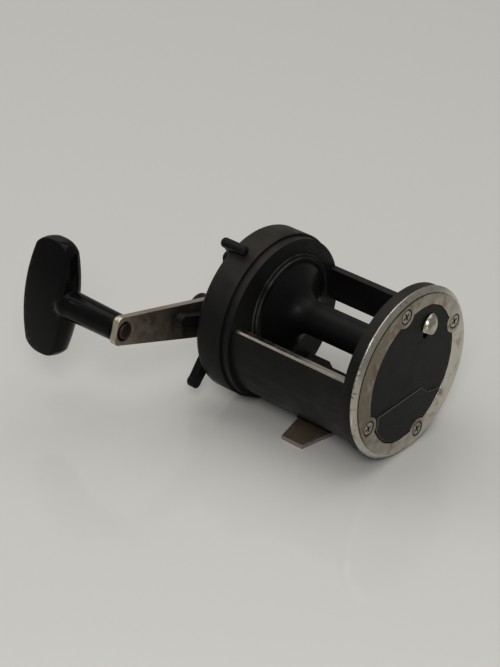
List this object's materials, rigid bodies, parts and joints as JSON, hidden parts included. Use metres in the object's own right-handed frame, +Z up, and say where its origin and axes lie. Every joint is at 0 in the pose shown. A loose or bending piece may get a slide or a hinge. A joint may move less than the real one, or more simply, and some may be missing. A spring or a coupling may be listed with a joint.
{
  "type": "trolling reel",
  "caption": "Small star-drag trolling reel: open spool in a moulded frame, bright end ring, deep gear housing, crank handle with a cross-bar knob and a flat foot.",
  "frame": {"origin": "underside of the foot, under the middle of the frame", "axes": "+X along the spool axis to the left end plate, with the handle at -X; -Y is the front that faces the rod tip; +Z up"},
  "size_m": [0.1554, 0.1214, 0.0819],
  "materials": {
    "graphite": "satin moulded black plastic",
    "spool": "black, half gloss",
    "lever": "black, half gloss",
    "knob": "high gloss black",
    "ring": "worn plated metal with fine scratches",
    "bright": "worn plated metal",
    "arm": "worn plated metal",
    "spindle": "darkened rivet",
    "screw": "turned steel",
    "foot": "stamped stainless steel",
    "brass": "machined brass",
    "fibre": "fibre drag washer"
  },
  "bodies": {
    "reel_frame": {"frame": "graphite", "rub_strip": "bright", "left_side_plate": "graphite", "left_ring": "ring", "left_plate_screws": "screw", "left_bearing": "screw", "right_bearing": "screw", "right_side_plate": "graphite", "right_plate_screws": "screw", "sleeve_bushing": "brass", "bridge_plate": "brass", "bridge_screws": "screw", "dog_spring": "screw", "foot": "foot", "foot_rivets": "foot"},
    "click": {"click_button": "bright", "click_tongue": "screw", "click_spring": "screw"},
    "spool_set": {"spool": "spool", "spool_shaft": "screw", "drive_pin": "screw", "click_gear": "brass"},
    "crank": {"main_gear": "brass", "gear_sleeve": "screw", "anti_reverse_ratchet": "screw", "drag_fibre_washers": "fibre", "drag_metal_washers": "screw", "drag_spring_washer": "screw", "drag_spacer": "brass", "handle_washer": "screw", "handle_arm": "arm", "handle_nut": "lever", "handle_lock_screw": "screw", "knob_spindle": "spindle"},
    "star": {"star_drag": "lever"},
    "paddle": {"knob": "knob"},
    "yoke": {"pinion_yoke": "screw", "yoke_springs": "screw"},
    "pinion_gear": {"pinion": "brass"},
    "lever": {"free_spool_lever": "lever"},
    "dog": {"anti_reverse_dog": "screw"}
  },
  "joints": [
    {"name": "handle_crank", "type": "hinge", "parent": "reel_frame", "child": "crank", "pos_m": [0, -0.01535, 0.0355], "axis": [1, 0, 0], "continuous": true},
    {"name": "spool_spin", "type": "hinge", "parent": "reel_frame", "child": "spool_set", "pos_m": [0, 0.002, 0.043], "axis": [1, 0, 0], "continuous": true},
    {"name": "free_lever", "type": "hinge", "parent": "reel_frame", "child": "lever", "pos_m": [-0.049, -0.00584, 0.06312], "axis": [-1, 0, 0], "range_deg": [0, 38]},
    {"name": "yoke_slide", "type": "slide", "parent": "reel_frame", "child": "yoke", "axis": [-1, 0, 0], "range_m": [0, 0.0015]},
    {"name": "pinion_spin", "type": "hinge", "parent": "yoke", "child": "pinion_gear", "pos_m": [0, 0.002, 0.043], "axis": [1, 0, 0], "continuous": true},
    {"name": "star_turn", "type": "hinge", "parent": "crank", "child": "star", "pos_m": [0, -0.01535, 0.0355], "axis": [1, 0, 0], "range_deg": [-180, 180]},
    {"name": "knob_spin", "type": "hinge", "parent": "crank", "child": "paddle", "pos_m": [-0.08, -0.07302, 0.05536], "axis": [1, 0, 0], "continuous": true},
    {"name": "click_slide", "type": "slide", "parent": "reel_frame", "child": "click", "axis": [0, -0.4752, -0.8799], "range_m": [0, 0.004]},
    {"name": "dog_swing", "type": "hinge", "parent": "reel_frame", "child": "dog", "pos_m": [-0.03785, -0.01997, 0.02281], "axis": [1, 0, 0], "range_deg": [0, 10], "stiffness_Nm_per_rad": 0.002}
  ],
  "couplings": [
    {"joint": "spool_spin", "follows": "handle_crank", "ratio": -2.75},
    {"joint": "pinion_spin", "follows": "handle_crank", "ratio": -2.75},
    {"joint": "free_lever", "follows": "yoke_slide", "rad_per_m": 442.15}
  ]
}
